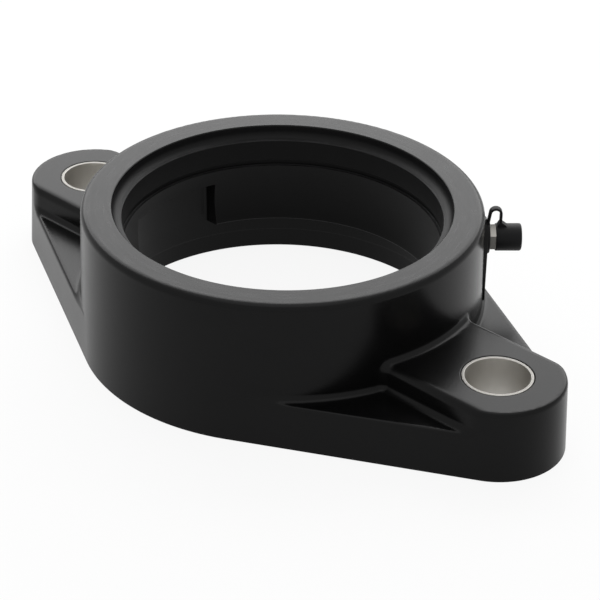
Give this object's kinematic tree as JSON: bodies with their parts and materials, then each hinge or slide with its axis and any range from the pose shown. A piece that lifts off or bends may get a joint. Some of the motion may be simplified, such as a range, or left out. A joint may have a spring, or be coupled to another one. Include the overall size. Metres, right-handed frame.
{
  "type": "two-bolt flange bearing housing",
  "caption": "Moulded two-bolt flange housing with a ball-shaped bore seat for a bearing insert, metal bolt sleeves and a capped grease nipple.",
  "frame": {"origin": "on the bore axis, at the mounting face", "axes": "+Z along the bore axis, away from the mounting face; X through the two bolt centres, with the nipple between +X and +Y"},
  "size_m": [0.1956, 0.114, 0.042],
  "materials": {
    "housing_plastic": "satin black moulded plastic",
    "sleeve_steel": "drawn stainless tube",
    "nipple_plating": "zinc plated, turned",
    "spring_steel": "bright spring steel",
    "cap_rubber": "black soft plastic"
  },
  "bodies": {
    "housing": {"housing": "housing_plastic", "bolt_sleeve_left": "sleeve_steel", "bolt_sleeve_right": "sleeve_steel", "nipple_body": "nipple_plating", "ball_spring": "spring_steel", "cap_ring": "cap_rubber", "cap_strap": "cap_rubber"},
    "cap": {"dust_cap": "cap_rubber"},
    "ball": {"check_ball": "spring_steel"}
  },
  "joints": [
    {"name": "cap_pull", "type": "slide", "parent": "housing", "child": "cap", "axis": [0.7071, 0.7071, 0], "range_m": [0, 0.007], "deforming": ["cap_strap"]},
    {"name": "ball_lift", "type": "slide", "parent": "housing", "child": "ball", "axis": [-0.7071, -0.7071, 0], "range_m": [0, 0.0008], "stiffness_N_per_m": 200, "springref_m": -0.002, "deforming": ["ball_spring"]}
  ]
}
